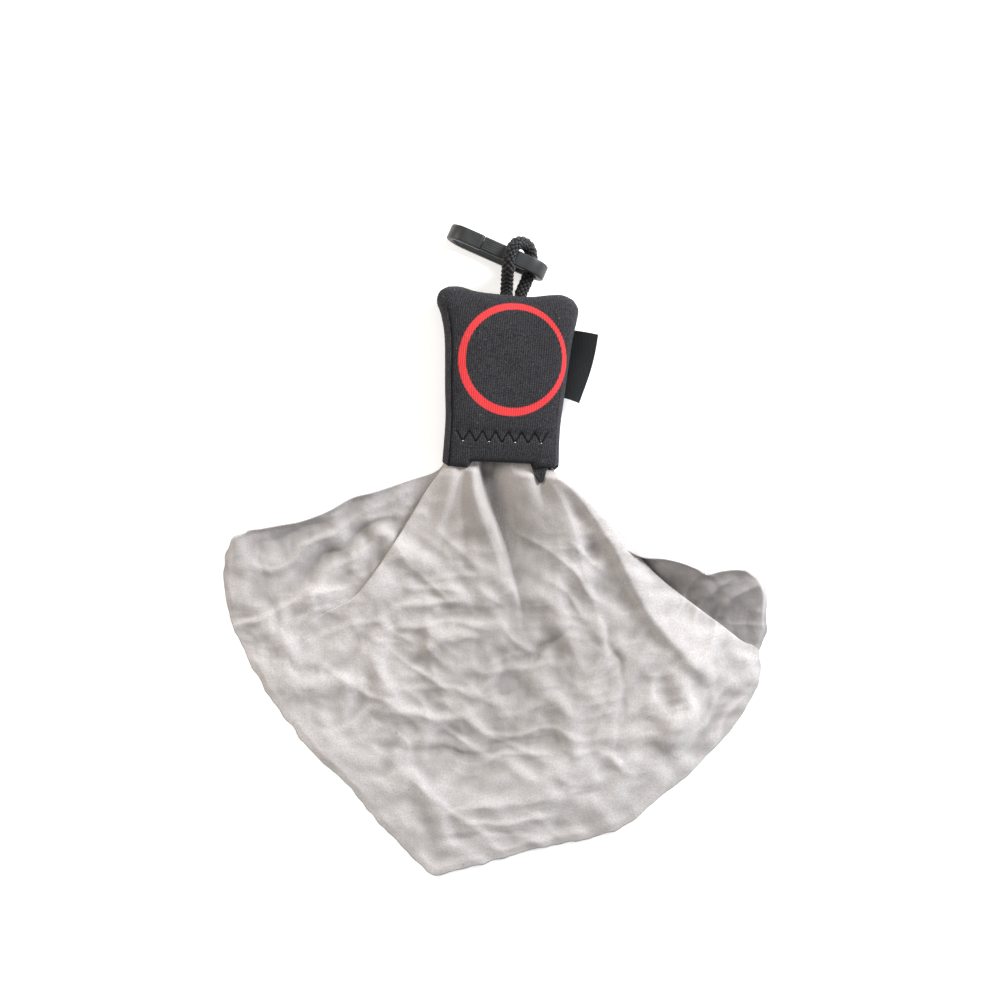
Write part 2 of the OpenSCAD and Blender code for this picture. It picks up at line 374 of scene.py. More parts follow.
def cloth_material():
    """Pale microfibre with painted shade: darker patches on the neck and the middle, darker hollows, and a
    darker folded-back wing and left edge.
    """
    n = Nodes("microfibre")
    soft = n.noise(38, 4, 0.55)
    pile = n.noise(1500, 3, 0.6)
    streak = n.noise(300, 3, 0.6, n.turned(0.5, (1, 0.25, 1)))
    colour = n.mix(n.remap(soft, 0.3, 0.7), (0.600, 0.560, 0.546), (0.670, 0.638, 0.632))
    # painted shade: each patch darkens the cloth towards its middle
    for (x, y), reach, strength, tint in PAINTED_SHADE_PATCHES:
        patch = n.remap(n.distance((x * MM, y * MM, 0)), 0.2 * reach * MM, reach * MM, strength, 0.0)
        colour = n.mix(patch, colour, tint)
    # painted shade: the cloth's hollows are darkened
    hollow_shade = n.times(n.attribute("hollow_shade"), 0.80, clamp=True)
    colour = n.mix(hollow_shade, colour, (0.150, 0.135, 0.125))
    # painted shade on the folded-back right wing and the curled left edge, which face away from the light
    colour = n.mix(n.times(n.attribute("painted_fold_shade"), 0.50), colour, (0.215, 0.200, 0.205))
    colour = n.mix(n.remap(pile, 0.32, 0.68, 0.0, 0.46), colour, (0.31, 0.285, 0.27))
    colour = n.mix(n.remap(streak, 0.35, 0.65, 0.0, 0.16), colour, (0.62, 0.605, 0.60))
    speck = n.math("GREATER_THAN", n.noise(240, 1), 0.80)
    colour = n.mix(n.times(speck, 0.5), colour, (0.25, 0.24, 0.24))
    normal = n.bump(pile, 0.16 * MM, 0.7)
    normal = n.bump(streak, 0.25 * MM, 0.4, normal)
    return n.finish(colour, 0.9, normal, Sheen_Weight=0.30, Sheen_Roughness=0.45, Specular_IOR_Level=0.2)


def cord_material():
    n = Nodes("braided_cord")
    fibre = n.noise(1400, 3, 0.6)
    colour = n.mix(n.remap(fibre, 0.3, 0.7), (0.002, 0.002, 0.0022), (0.011, 0.011, 0.012))
    normal = n.bump(fibre, 0.12 * MM, 0.7)
    return n.finish(colour, n.remap(fibre, 0.3, 0.7, 0.48, 0.75), normal, Sheen_Weight=0.03)


def thread_material(name, dark, light):
    n = Nodes(name)
    twist = n.wave(n.turned(0.8), 900)
    colour = n.mix(twist, dark, light)
    return n.finish(colour, 0.75, n.bump(twist, 0.05 * MM, 0.6), Specular_IOR_Level=0.2)


def plastic_material():
    n = Nodes("moulded_plastic")
    grain = n.noise(1800, 3, 0.6)
    wear = n.noise(90, 4, 0.6)
    colour = n.mix(n.remap(wear, 0.35, 0.7), (0.018, 0.0185, 0.019), (0.040, 0.041, 0.042))
    rough = n.plus(n.remap(wear, 0.3, 0.7, 0.36, 0.5), n.times(grain, 0.06))
    normal = n.bump(grain, 0.03 * MM, 0.5)
    return n.finish(colour, rough, normal, Specular_IOR_Level=0.5)


def label_material():
    n = Nodes("woven_ribbon")
    along_seam = n.turned(math.radians(-3.7))
    warp = n.wave(along_seam, 620, 0.3, "X")
    weft = n.wave(along_seam, 900, 0.3, "Y")
    weave = n.times(warp, weft)
    # Painted sheen: soft brighter and darker patches over the weave's colour
    sheen = n.noise(160, 3)
    colour = n.mix(n.times(weave, n.remap(sheen, 0.3, 0.7, 0.5, 1.2)),
                   (0.004, 0.0045, 0.005), (0.016, 0.018, 0.020))
    return n.finish(colour, n.remap(weave, 0.0, 1.0, 0.8, 0.6), n.bump(weave, 0.10 * MM, 0.8),
                    Specular_IOR_Level=0.25)


def floor_material():
    n = Nodes("pale_floor")
    n.shader.inputs["Emission Color"].default_value = (1, 1, 1, 1)
    return n.finish((0.93, 0.93, 0.93), 0.9, Specular_IOR_Level=0.1, Emission_Strength=0.46)


# ---- camera and lights

CAMERA_HEIGHT, VIEW_WIDTH, SENSOR = 0.45, 0.3704, 36
CAMERA_OVER, CAMERA_TURN = (1.0 * MM, -45.6 * MM), math.radians(5)


def make_camera():
    """Straight down, turned a little, so that the pouch leans as it does on the table."""
    data = bpy.data.cameras.new("camera")
    data.sensor_width = SENSOR
    data.lens = SENSOR * CAMERA_HEIGHT / VIEW_WIDTH
    camera = bpy.data.objects.new("camera", data)
    camera.location = (*CAMERA_OVER, CAMERA_HEIGHT)
    camera.rotation_euler = (0, 0, CAMERA_TURN)
    bpy.context.scene.collection.objects.link(camera)
    bpy.context.scene.camera = camera


LIGHT_TARGET = (0, -0.06, 0)
LIGHTS = [  # name, place, size, power, colour
    ("warm_left", (-0.66, 0.16, 0.46), 0.30, 2.8, (1.0, 0.90, 0.76)),
    ("cool_right", (0.56, 0.48, 0.42), 0.40, 13.0, (0.94, 0.965, 1.0)),
    ("overhead", (0.05, 0.0, 1.1), 0.9, 1.6, (1.0, 1.0, 1.0)),
]
FLOOR_HALF = 3.0


def area_light(name, place, size, power, colour):
    data = bpy.data.lights.new(name, "AREA")
    data.shape = "DISK"
    data.size, data.energy, data.color = size, power, colour
    light = bpy.data.objects.new(name, data)
    light.location = place
    light.rotation_euler = (Vector(LIGHT_TARGET) - Vector(place)).to_track_quat("-Z", "Y").to_euler()
    bpy.context.scene.collection.objects.link(light)


def make_stage():
    """Pale floor, a warm soft light on the left, a stronger cool one on the right and an even sky."""
    floor = flat_square("floor", FLOOR_HALF, floor_material(), smooth=False)
    for light in LIGHTS:
        area_light(*light)
    world = bpy.data.worlds.new("sky")
    world.use_nodes = True
    background = world.node_tree.nodes["Background"]
    background.inputs["Color"].default_value = (0.97, 0.98, 1.0, 1)
    background.inputs["Strength"].default_value = 0.30
    bpy.context.scene.world = world
    bpy.context.scene.view_settings.view_transform = "Standard"


# ---- cord

CORD_D = 4.6 * MM
CORD_ROUTE = [
    (-3.2, 27.5, 7), (-3.2, 30, 7), (-3.3, 32.5, 8.3), (-3.4, 35, 11), (-3.4, 37.5, 14),
    (-3.3, 40.5, 15.7), (-2.6, 43.8, 15.9), (-1, 46.4, 15), (1.2, 47.3, 12.4), (3.3, 46.6, 9.6),
    (4.5, 44.4, 7.9), (4.7, 41.5, 7.5), (4.4, 38, 7.3), (3.4, 34, 7.1), (2.1, 30.2, 7),
    (2, 27.5, 7),
]
CORD_SAMPLES, CORE_R, CORE_SIDES = 320, 1.45 * MM, 16
STRANDS, STRAND_SIDES, STRAND_R, STRAND_FLAT = 6, 6, 0.80 * MM, 0.62
BRAID_R, BRAID_PITCH, BRAID_LAY = CORD_D / 2 - 0.66 * MM, 11.5 * MM, 0.30 * MM


def make_cord(material):
    """Braided cord: a core tube under six strands each way that pass over and under each other."""
    path = resample(smooth_path(np.array(CORD_ROUTE) * MM, 24), CORD_SAMPLES)
    length = float(np.linalg.norm(np.diff(path, axis=0), axis=1).sum())
    u, v = cross_directions(path)
    run = np.linspace(0, length, len(path))
    turns = length / BRAID_PITCH
    vertices, faces = tube_parts(path, CORE_R, CORE_SIDES)
    parts = [vertices]
    ring = np.linspace(0, 2 * np.pi, STRAND_SIDES, endpoint=False)
    for way in (1, -1):
        for k in range(STRANDS):
            angle = way * 2 * np.pi * (turns * run / length + k / STRANDS)
            radius = BRAID_R + way * BRAID_LAY * np.cos(2 * np.pi * STRANDS * turns * run / length)
            outward = np.cos(angle)[:, None] * u + np.sin(angle)[:, None] * v
            line = path + radius[:, None] * outward
            side = np.cross(tangents(line), outward)
            shape = (np.cos(ring)[None, :, None] * side[:, None] * STRAND_R
                     + np.sin(ring)[None, :, None] * outward[:, None] * STRAND_R * STRAND_FLAT)
            faces += tube_faces(len(line), STRAND_SIDES, sum(len(p) for p in parts))
            parts.append((line[:, None] + shape).reshape(-1, 3))
    cord = new_object("braided_loop", np.concatenate(parts), faces, material)
    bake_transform(cord)
    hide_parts("cord_loop")


# ---- pouch

WALL = 2.6
PANEL_RISE = 7.0
EDGE_SAMPLES = 200
FRONT_MOUTH_Y = -31.4
BACK_LIP = 1.7
MOUTH_HALF = 21.2
HEM = 8.0
RIGHT_EDGE = [(20.6, -18), (21.2, -4), (22.2, 14), (23.2, 21.5), (23.4, 26), (21.2, 29.4)]
TOP_EDGE = [(-24.6, 30.3), (-20, 30.5), (-14, 29.3), (-6, 29), (5, 29), (12, 30.2), (17, 30.7), (21.2, 29.4)]
LEFT_EDGE = [(-21.4, -18), (-22.6, -6), (-24.2, 11), (-26.2, 19.4), (-28.2, 24.2), (-27.6, 28), (-24.6, 30.3)]
# Ridges and grooves along the side seams of the front: height, place across the panel, width
SEAM_RIDGES = [(0.55, -0.915, 0.016), (-0.8, -0.875, 0.014), (0.3, 0.93, 0.016)]


def pouch_patch(mouth_y, across, along):
    """Places inside the pouch's outline: across from its left edge to its right, along from mouth to top."""
    mouth = [(-MOUTH_HALF, mouth_y), (MOUTH_HALF, mouth_y)]
    left, right, top = (resample(smooth_path(line, 12), EDGE_SAMPLES)
                        for line in (mouth[:1] + LEFT_EDGE, mouth[1:] + RIGHT_EDGE, TOP_EDGE))
    bottom = resample(mouth, EDGE_SAMPLES)
    a, b = (across + 1) / 2, along
    sides = pick(left, b) * (1 - a)[..., None] + pick(right, b) * a[..., None]
    ends = pick(bottom, a) * (1 - b)[..., None] + pick(top, a) * b[..., None]
    corners = ((1 - a) * (1 - b))[..., None] * left[0] + (a * (1 - b))[..., None] * right[0] \
        + ((1 - a) * b)[..., None] * left[-1] + (a * b)[..., None] * right[-1]
    return sides + ends - corners


def puff(across, along, sharp, mouth_drop):
    """Height of the padding, 0 at the seam and 1 on the crown; the mouth stays open."""
    side = (1 - np.abs(across) ** sharp) ** (1 / 2.3)
    top = (1 - np.clip(along, 0, 1) ** (sharp * 1.6)) ** (1 / 2.3)
    mouth = 1 - mouth_drop * np.exp(-along * 14)
    return side * top * mouth


def spread_samples(count, power):
    """Samples from -1 to 1, closer together near the ends."""
    t = np.linspace(-1, 1, count)
    return np.sign(t) * (1 - (1 - np.abs(t)) ** power)


def mouth_shift(x, front):
    """How far a hem's edge lies from a straight one: its left end hangs lower, the rest is pulled in."""
    if not front:
        return 1.9 * smoothstep(4, 20, x) - 0.1
    left = 1 - smoothstep(-12.6, -11.2, x)
    right = smoothstep(12.2, 14.0, x)
    pulled = 1.1 + 0.045 * x
    return -1.7 * left + (1 - left) * (pulled * (1 - right) + (0.15 + 0.13 * (x - 14)) * right)


ZIGZAG_MID, ZIGZAG_TILT = (-0.2, -22.7), 3
ZIGZAG_PITCH, ZIGZAG_H, ZIGZAG_COUNT = 4.7, 4.2, 7


def zigzag_corners():
    """Turning points of the hem's zigzag stitch, the first one high."""
    corners = []
    for k in range(2 * ZIGZAG_COUNT + 1):
        side = 0.5 if k % 2 == 0 else -0.5
        x, y = turned((k - ZIGZAG_COUNT) * ZIGZAG_PITCH / 2, ZIGZAG_H * side, ZIGZAG_TILT)
        corners.append((ZIGZAG_MID[0] + x, ZIGZAG_MID[1] + y))
    return corners


def zigzag_distance(x, y):
    """Distance from each place to the stitch."""
    corners = zigzag_corners()
    best = np.full(x.shape, 1e9)
    for (ax, ay), (bx, by) in zip(corners, corners[1:]):
        t = np.clip(((x - ax) * (bx - ax) + (y - ay) * (by - ay)) / ((bx - ax) ** 2 + (by - ay) ** 2), 0, 1)
        best = np.minimum(best, np.hypot(x - ax - t * (bx - ax), y - ay - t * (by - ay)))
    return best


def make_panel(name, mouth_y, front, material, *nodes):
    """One padded panel as a closed shell, its hem turned in at the mouth."""
    cols = spread_samples(121, 2.0)
    rows = 1 - (1 - np.linspace(0, 1, 141)) ** 1.6
    across, along = np.meshgrid(cols, rows)
    flat = pouch_patch(mouth_y, across, along)
    flat[..., 1] += mouth_shift(flat[..., 0], front) * smoothstep(7.0, 0.0, flat[..., 1] - mouth_y)
    soft = Noise(SEED + (1 if front else 2))
    height = PANEL_RISE * puff(across, along, 7.5 if front else 11, 0.12 if front else 0.05)
    if front:
        x, y = flat[..., 0], flat[..., 1]
        dents = 0.22 * soft(x / 11, y / 13) + 0.10 * soft(x / 4.5 + 9, y / 5)
        pull = 0.45 * np.exp(-((y + 21.6) / 1.7) ** 2) * smoothstep(20, 17, np.abs(x))
        ridges = sum(h * np.exp(-((across - at) / width) ** 2) for h, at, width in SEAM_RIDGES)
        groove = 0.30 * np.exp(-(zigzag_distance(x, y) / 0.55) ** 2)
        height += np.clip(height / PANEL_RISE, 0, 1) * (dents - pull - groove - 0.25)
        height += ridges * smoothstep(0.92, 0.7, along)
    height = np.clip(height, 0, PANEL_RISE)
    way = 1 if front else -1
    outer = np.dstack([flat, SEAM_Z + way * height])
    inset = 1 - WALL / 22.0
    hem_t = WALL + 1.7 * smoothstep(mouth_y + HEM + 1.0, mouth_y + HEM - 1.0, flat[..., 1])
    inner = np.dstack([flat[..., 0] * inset, flat[..., 1] * np.where(flat[..., 1] > 0, inset, 1),
                       SEAM_Z + way * np.clip(height - hem_t, 0, None)])
    fold = []
    middle, half = (outer[0] + inner[0]) / 2, (outer[0] - inner[0]) / 2
    bow = np.zeros_like(middle)
    bow[:, 1] = -0.8 * np.linalg.norm(half, axis=1)
    for turn in np.linspace(np.pi, 0, 9)[1:-1]:
        fold.append(middle + half * np.cos(turn) + bow * np.sin(turn))
    panel = closed_panel(name, np.concatenate([fold, outer]), inner, len(fold), material)
    if not front:
        panel.data.flip_normals()
        panel.data.update()
    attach(panel, "pouch")
    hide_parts(*nodes)
    return panel


def closed_panel(name, upper, inner, folds, material):
    """Joins the outer surface, which includes the fold rows, to the inner one."""
    rows_u, cols = upper.shape[:2]
    rows_i = inner.shape[0]
    count = rows_u * cols
    vertices = np.concatenate([upper.reshape(-1, 3), inner.reshape(-1, 3)]) * MM
    faces = grid_faces(rows_u, cols) + grid_faces(rows_i, cols, count, flip=True)
    for c in range(cols - 1):
        faces.append((c + 1, c, count + c, count + c + 1))
        top_u, top_i = (rows_u - 1) * cols, count + (rows_i - 1) * cols
        faces.append((top_u + c, top_u + c + 1, top_i + c + 1, top_i + c))
    for r in range(rows_i - 1):
        a, b = (folds + r) * cols, (folds + r + 1) * cols
        faces.append((a, b, count + (r + 1) * cols, count + r * cols))
        a, b = a + cols - 1, b + cols - 1
        faces.append((b, a, count + r * cols + cols - 1, count + (r + 1) * cols + cols - 1))
    for c, turn in ((0, 1), (cols - 1, -1)):
        loop = [r * cols + c for r in range(folds + 1)] + [count + c]
        faces.append(tuple(loop[::turn][::-1]))
    return new_object(name, vertices, faces, material)


def make_hem_corner_and_shade(material):
    """Dark flap at the mouth's right: partly the corner of the back hem that the cloth has dragged out,
    partly a dark sheet standing in for the deep shade in the fold between the front hem and the cloth. It
    lies on the cloth.
    """
    across, down = np.meshgrid(np.linspace(-1, 1, 25), np.linspace(0, 1, 25))
    width = 3.5 * (1 - down) ** 0.7 + 0.3
    x = 13.7 + 1.3 * down + across * width
    y = -29.5 - 8.6 * down
    z = np.vectorize(lambda a, b: surface_height("cleaning_cloth", a, b))(x, y) / MM
    z = blur(blur(z, 0, 2.0), 1, 2.0) + 0.9 + 0.15 * np.sin(3 * across + 2 * down)
    half = 0.55 * (1 - 0.6 * np.abs(across) ** 6)
    flap = thick_sheet("back_hem_corner", np.dstack([x, y]), z, half, material)
    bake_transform(flap)


def surface_height(name, x, y):
    """Height in metres of a finished piece at a place in mm, from its own mesh."""
    hit, place, *_ = bpy.data.objects[name].ray_cast(Vector((x * MM, y * MM, 0.05)), Vector((0, 0, -1)))
    return place.z if hit else SEAM_Z * MM


THREAD_R = 0.24


def make_front_zigzag(material, speck_material):
    """Zigzag stitch laid on the front panel, and the pale thread that shows at some of its low points."""
    corners = zigzag_corners()
    paths, specks = [], []
    for a, b in zip(corners, corners[1:]):
        line = []
        for t in np.linspace(0, 1, 9):
            x, y = a[0] * (1 - t) + b[0] * t, a[1] * (1 - t) + b[1] * t
            sink = 0.30 * (2 * t - 1) ** 6
            line.append((x * MM, y * MM, surface_height("front_padding", x, y) + (0.13 - sink) * MM))
        paths.append(line)
    for k, size in ((1, 0.15), (5, 0.21), (9, 0.22), (13, 0.14)):
        x, y = corners[k]
        z = surface_height("front_padding", x, y)
        specks.append([((x - size) * MM, (y - 0.08) * MM, z - 0.05 * MM), (x * MM, y * MM, z + 0.18 * MM),
                       ((x + size) * MM, (y + 0.08) * MM, z - 0.05 * MM)])
    stitch = tubes("front_stitch", paths, THREAD_R * MM, 8, material)
    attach(stitch, "pouch")
    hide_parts("front_hem_zigzag")
    dots = tubes("stitch_specks", [smooth_path(line, 4) for line in specks], 0.18 * MM, 8, speck_material)
    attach(dots, "pouch")


# ---- label

LABEL_ROOT = np.array([(21.0, -6.5), (22.3, 18.4)])
LABEL_TIP = np.array([(26.9, -7.7), (31.4, 17.5)])


def make_label(material):
    """Folded ribbon that leaves the side seam, its lower end curling down and under."""
    samples = np.linspace(0, 1, 60)
    s, t = np.meshgrid(samples, samples)
    root, tip = (low + (high - low) * t[..., None] for low, high in (LABEL_ROOT, LABEL_TIP))
    spot = root + (tip - root) * s[..., None]
    spot[..., 0] += 0.9 * s * np.sin(np.pi * t ** 1.15)
    lift = 0.9 * np.sin(np.pi * s * 0.9) * (0.4 + 0.6 * t) - 3.6 * s ** 1.7 * (1 - t) ** 1.2 + 0.5 * s * t
    ripple = 0.16 * np.sin(5 * t + 2 * s) * s
    half = 0.38 * (1 - 0.55 * s ** 8)
    label = thick_sheet("folded_label", spot, SEAM_Z + lift + ripple, half, material)
    bevel = label.modifiers.new("soft_edges", "BEVEL")
    bevel.width, bevel.segments, bevel.limit_method = 0.12 * MM, 2, "ANGLE"
    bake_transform(label)
    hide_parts("side_label")


# ---- clip

CLIP = {"angle": 161, "end": (10.3, 38.0), "l": 38.4, "h": 13.0, "w": 5.5, "bar": 2.6,
        "root": 13.6, "tip": 24.6, "gap": 0.6, "gate_t": 2.2, "post": (10.8, 13.1)}


def clip_to_row(points):
    """From the clip's own directions (along, across, up) to the row frame, in metres."""
    p = np.asarray(points, float)
    x, y = turned(p[..., 0], p[..., 1], CLIP["angle"])
    return np.stack([CLIP["end"][0] + x, CLIP["end"][1] + y, p[..., 2]], -1) * MM


def rounded_section(width, thick, radius, per_corner=5):
    """Outline of a rounded rectangle, as (across, up) offsets."""
    points = []
    for cx, cy, start in ((1, 1, 0), (-1, 1, 90), (-1, -1, 180), (1, -1, 270)):
        for k in range(per_corner):
            a = math.radians(start + 90 * k / (per_corner - 1))
            points.append((cx * (width / 2 - radius) + radius * math.cos(a),
                           cy * (thick / 2 - radius) + radius * math.sin(a)))
    return np.array(points)


def swept_band(centre, section, end_share=1.0):
    """Vertices and faces of a rounded bar along centre, a line of (along, up) points."""
    centre = np.asarray(centre, float)
    t = tangents(centre)
    rings = []
    for i, (c, (along, up)) in enumerate(zip(centre, t)):
        k = end_share if i in (0, len(centre) - 1) else 1.0
        for side, out in section:
            rings.append((c[0] - up * out * k, side * (0.5 + 0.5 * k), c[1] + along * out * k))
    return np.array(rings), tube_faces(len(centre), len(section))


def clip_line():
    """Middle line of the band: from the gate's root round the eye, along the base and round the hook."""
    mid = CLIP["bar"] / 2
    r = CLIP["h"] / 2 - mid
    left, right, z = CLIP["h"] / 2, CLIP["l"] - CLIP["h"] / 2, CLIP["h"] / 2
    half_turn = np.linspace(0, math.pi, 40)[1:]
    line = [(x, z + r) for x in np.linspace(CLIP["root"] - 1.5, left, 10)]
    line += [(left - r * math.sin(a), z + r * math.cos(a)) for a in half_turn]
    line += [(x, z - r) for x in np.linspace(left, right, 24)[1:]]
    line += [(right + r * math.sin(a), z - r * math.cos(a)) for a in half_turn]
    line += [(x, z + r) for x in np.linspace(right, CLIP["tip"] + CLIP["gap"] - 0.2, 10)[1:]]
    return np.array(line)


def make_clip(material):
    """The band bent into eye and hook, with the post between them."""
    vertices, faces = swept_band(clip_line(), rounded_section(CLIP["w"], CLIP["bar"], 0.62), 0.92)
    low, high = CLIP["post"]
    heights = np.linspace(CLIP["bar"] * 0.5, CLIP["h"] - CLIP["bar"] * 0.8, 12)
    post_line = [((low + high) / 2, z) for z in heights]
    post_v, post_f = swept_band(post_line, rounded_section(CLIP["w"] - 0.3, high - low, 0.5))
    faces += [tuple(i + len(vertices) for i in f) for f in post_f]
    body = new_object("clip_hook", clip_to_row(np.concatenate([vertices, post_v])), faces, material)
    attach(body, "clip")
    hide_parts("clip_body")
    make_gate(material)


def make_gate(material):
    """Springy gate: a flat tongue with fine ridges on its outer face and a round root."""
    ridges = 7
    columns = np.linspace(-1, 1, 8 * ridges + 1)
    half_w = CLIP["w"] / 2 - 0.1
    edge = (1 - np.abs(columns) ** 10) ** 0.5
    groove = 0.13 * (0.5 + 0.5 * np.cos(np.pi * columns * ridges)) * (np.abs(columns) < 0.93)
    length = np.linspace(0, 1, 40)
    start, end = CLIP["root"] - 1.0, CLIP["tip"] + 0.15
    ends = np.minimum(1, 12 * np.minimum(length, 1 - length) + 0.8) ** 0.6
    fade = smoothstep(0.0, 0.12, length) * smoothstep(1.0, 0.93, length)
    side, x = np.meshgrid(columns * half_w, start + (end - start) * length)
    half_t = CLIP["gate_t"] * 0.5
    crown = half_t * edge * ends[:, None]
    middle = CLIP["h"] - half_t
    upper, lower = middle + crown - groove * fade[:, None], middle - crown
    gate = closed_slab("clip_tongue", clip_to_row(np.dstack([x, side, upper])),
                       clip_to_row(np.dstack([x, side, lower])), material)
    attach(gate, "gate")
    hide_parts("clip_gate")


# ---- cloth

CLOTH_T = 0.5
# The cloth's outer edge in three runs: left corner, left fold, right fold, right corner
LEFT_EDGE_RUN = [(-91, -65.2), (-96.5, -69.5), (-98.3, -79), (-97, -90), (-93, -101), (-88, -110)]
FREE_EDGE_RUN = [(-88, -110), (-78, -124.5), (-67, -137), (-58.6, -145.7), (-51, -151), (-44, -157.5),
                 (-39.5, -161.5), (-33, -168.5), (-26.9, -173.7), (-19, -180.5), (-11.6, -186), (-3, -183),
                 (2, -181.5), (16, -176.2), (30, -171.6), (47, -166.5), (56, -162.5), (60, -159.5),
                 (68, -150.8), (80.9, -138.6), (93.4, -123), (99.5, -112), (102.3, -103), (102.6, -98),
                 (101.3, -93)]
RIGHT_EDGE_RUN = [(101.3, -93), (102.9, -87), (102.6, -80), (101, -71), (98, -66), (93, -63.4)]
# Lines from the mouth outward, each with its share of the fan: cut edge, fold, middle, fold, cut edge
LEFT_FOLD, RIGHT_FOLD = 0.20, 0.80
GUIDES = [
    (0.0, [(-19, -30), (-22.5, -36.8), (-33, -41.5), (-45, -46.7), (-53, -49.6), (-61, -55), (-70, -59.4),
           (-79, -62), (-91, -65.2)]),
    (LEFT_FOLD, [(-18, -30), (-21.3, -36.6), (-25.9, -43.5), (-31.1, -53.7), (-38.8, -68.1), (-44.8, -78.3),
                 (-51, -86.3), (-62, -94), (-74, -102), (-88, -110)]),
    (0.5, [(0, -30), (1, -50), (2, -80), (1, -110), (-3, -145), (-11.6, -186)]),
    (RIGHT_FOLD, [(17.5, -30), (21.5, -35.5), (28, -39.2), (40, -48.5), (54, -61.6), (62.4, -68.6),
                  (74.5, -76.2), (85.7, -83), (94, -89), (101.3, -93)]),
    (1.0, [(12, -30), (18, -38), (34, -50), (46, -58.5), (54, -61.8), (62, -61.8), (68, -62.6), (74, -64.4),
           (78, -66), (86, -63.6), (93, -63.4)]),
]


def fan_edge(share):
    """Place on the outer edge for each share of the fan."""
    table = []
    for run, low, high in ((LEFT_EDGE_RUN, 0, LEFT_FOLD), (FREE_EDGE_RUN, LEFT_FOLD, RIGHT_FOLD),
                           (RIGHT_EDGE_RUN, RIGHT_FOLD, 1)):
        count = int(900 * (high - low)) + 1
        table.append(np.column_stack([np.linspace(low, high, count), resample(smooth_path(run, 8), count)]))
    table = np.concatenate(table)
    return np.stack([np.interp(share, table[:, 0], table[:, k]) for k in (1, 2)], -1)


def fan_place(share, t):
    """Flat place for a share of the fan (across) and t from the mouth (0) to the outer edge (1)."""
    lines = [resample(smooth_path(points, 8), 400) for _, points in GUIDES]
    marks = [mark for mark, _ in GUIDES]
    place, chord = np.zeros((2, *share.shape, 2))
    for line, only_this in zip(lines, np.eye(len(marks))):
        hat = np.interp(share, marks, only_this)[..., None]
        place += hat * pick(line, t)
        chord += hat * line[-1]
    return place + (fan_edge(share) - chord) * (t ** 1.5)[..., None]


def line_profile(x, y, points):
    """Signed distance to a line (above 0 on its left), and the share of it (0 to 1) at the nearest place."""
    p = resample(smooth_path(points, 8), 50)
    step = float(np.linalg.norm(p[1] - p[0]))
    best = np.full(x.shape, 1e9)
    off, share = np.zeros_like(x), np.zeros_like(x)
    for i, (q, d) in enumerate(zip(p, tangents(p))):
        dx, dy = x - q[0], y - q[1]
        far = dx * dx + dy * dy
        near = far < best
        best = np.where(near, far, best)
        off = np.where(near, d[0] * dy - d[1] * dx, off)
        share = np.where(near, (i + (d[0] * dx + d[1] * dy) / step) / (len(p) - 1), share)
    return off, np.clip(share, 0, 1)


CRUMPLE_GROWTH, CRUMPLE_BEND = 0.045, 10


def crumple_field():
    """Height of a plain sheet that has grown a little while its border stays put, so that it crumples."""
    step, low, high = 1.5, (-113, -201), (118, -13)
    nx, ny = int((high[0] - low[0]) / step) + 1, int((high[1] - low[1]) / step) + 1
    x, y = np.meshgrid(np.linspace(low[0], high[0], nx), np.linspace(low[1], high[1], ny))
    n = [Noise(SEED + k) for k in (20, 21, 22)]
    z = 1.0 + 0.9 * n[0](x / 16, y / 11) + 0.6 * n[1](x / 8, y / 6) + 0.2 * n[2](x / 4, y / 4)
    size = 10 * MM  # ten times life size
    places = np.stack([x, y, np.maximum(z, 0.3)], -1).reshape(-1, 3)
    sheet = new_object("sheet", places * size, grid_faces(ny, nx))
    pin = sheet.vertex_groups.new(name="pin")
    pin.add(rim_of(ny, nx), 1.0, "REPLACE")
    table = flat_square("table", 4)
    table.modifiers.new("contact", "COLLISION")
    table.collision.thickness_outer = 0.004
    table.collision.cloth_friction = 8
    cloth = sheet.modifiers.new("cloth", "CLOTH")
    s = cloth.settings
    s.quality, s.mass, s.air_damping = 6, 0.15, 1.0
    s.tension_stiffness = s.compression_stiffness = 15
    s.shear_stiffness, s.bending_model, s.bending_stiffness = 7.5, "ANGULAR", CRUMPLE_BEND
    s.tension_damping = s.compression_damping = s.shear_damping = 5
    s.bending_damping = 0.5
    s.vertex_group_mass, s.shrink_min = "pin", -CRUMPLE_GROWTH
    cloth.collision_settings.distance_min = 0.002
    frames = 36
    cloth.point_cache.frame_start, cloth.point_cache.frame_end = 1, frames
    for f in range(1, frames + 1):
        bpy.context.scene.frame_set(f)
    settled = sheet.evaluated_get(bpy.context.evaluated_depsgraph_get()).to_mesh()
    co = np.empty(len(settled.vertices) * 3)
    settled.vertices.foreach_get("co", co)
    field = co.reshape(ny, nx, 3)[..., 2] / size
    for obj in (sheet, table):
        mesh = obj.data
        bpy.data.objects.remove(obj)
        bpy.data.meshes.remove(mesh)
    bpy.context.scene.frame_set(1)
    return blur(blur(field, 0, 0.8), 1, 0.8), low, step


def sample_grid(field, low, step, x, y):
    """Smooth (cubic) reading of a grid of values at any places."""
    def weights(f):
        return np.stack([-0.5 * f + f ** 2 - 0.5 * f ** 3, 1 - 2.5 * f ** 2 + 1.5 * f ** 3,
                         0.5 * f + 2 * f ** 2 - 1.5 * f ** 3, -0.5 * f ** 2 + 0.5 * f ** 3])
    u, v = (x - low[0]) / step, (y - low[1]) / step
    iu, iv = np.floor(u).astype(int), np.floor(v).astype(int)
    wu, wv = weights(u - iu), weights(v - iv)
    total = np.zeros_like(x)
    for a in range(4):
        for b in range(4):
            row = np.clip(iv + a - 1, 0, field.shape[0] - 1)
            col = np.clip(iu + b - 1, 0, field.shape[1] - 1)
            total += wv[a] * wu[b] * field[row, col]
    return total


